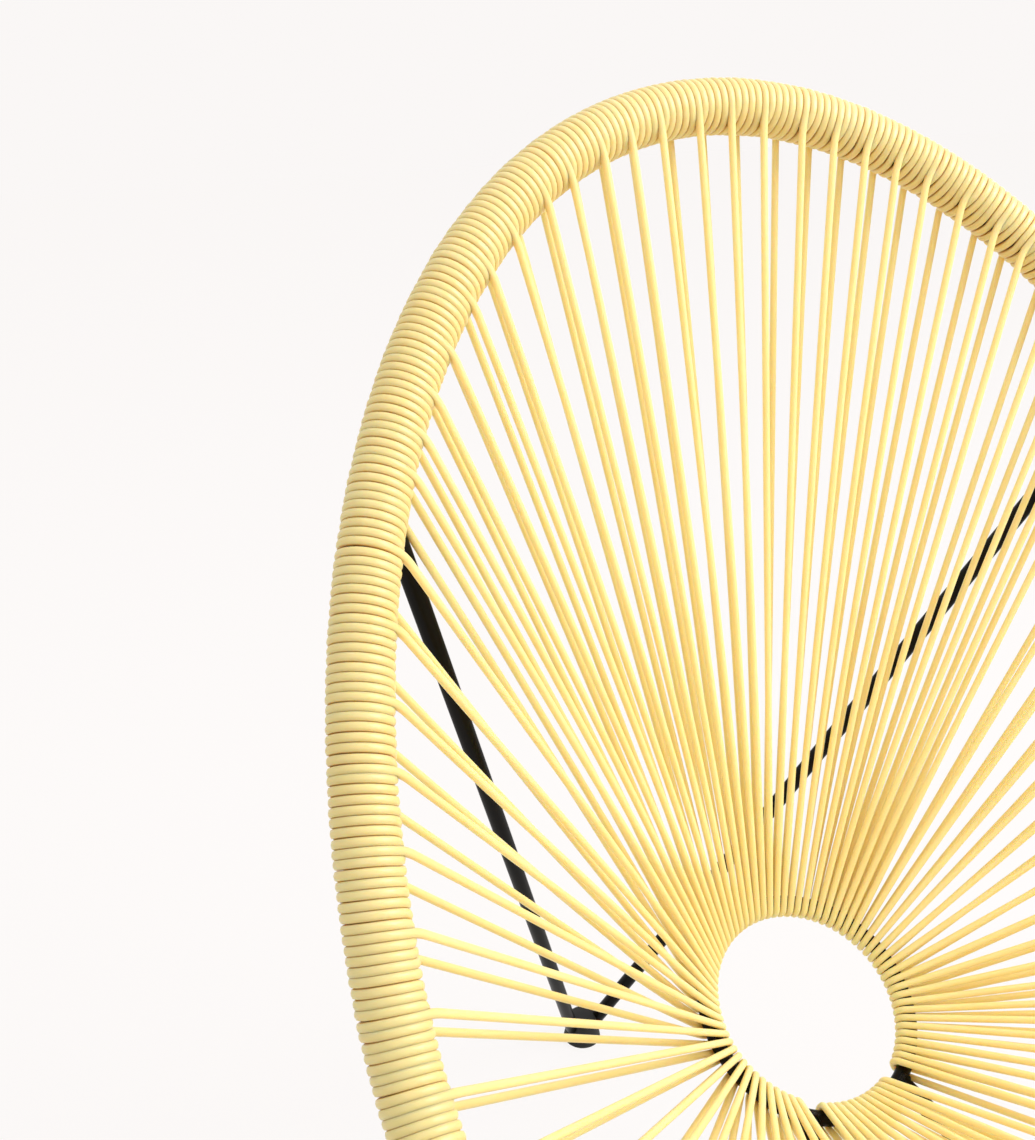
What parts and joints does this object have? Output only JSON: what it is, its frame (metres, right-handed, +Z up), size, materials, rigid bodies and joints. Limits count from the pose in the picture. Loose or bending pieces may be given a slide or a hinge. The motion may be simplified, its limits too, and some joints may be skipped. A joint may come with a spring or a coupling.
{
  "type": "acapulco chair",
  "caption": "Low lounge chair: a bent egg-shaped steel hoop wound with plastic cord, laced to a small ring under the seat, on bent rod legs with rubber feet.",
  "frame": {"origin": "on the floor, under the middle of the chair's box", "axes": "+Z up, the sitter faces -Y, X = 0 is the plane of symmetry; left in the node names is -X, the left seen from in front"},
  "size_m": [0.717, 0.9442, 0.8625],
  "materials": {
    "steel": "satin black powder coat",
    "cord": "smooth pale butter-yellow PVC, semi-gloss",
    "rubber": "matt black"
  },
  "bodies": {
    "root": {"rim_hoop": "steel", "inner_ring": "steel", "rear_leg": "steel", "front_leg_left": "steel", "front_leg_right": "steel", "foot_rear": "rubber", "foot_front_left": "rubber", "foot_front_right": "rubber", "seat_cord_01": "cord", "seat_cord_02": "cord", "seat_cord_03": "cord", "seat_cord_04": "cord", "seat_cord_05": "cord", "seat_cord_06": "cord", "seat_cord_07": "cord", "seat_cord_08": "cord", "seat_cord_09": "cord", "seat_cord_10": "cord", "seat_cord_11": "cord", "seat_cord_12": "cord"}
  },
  "joints": []
}
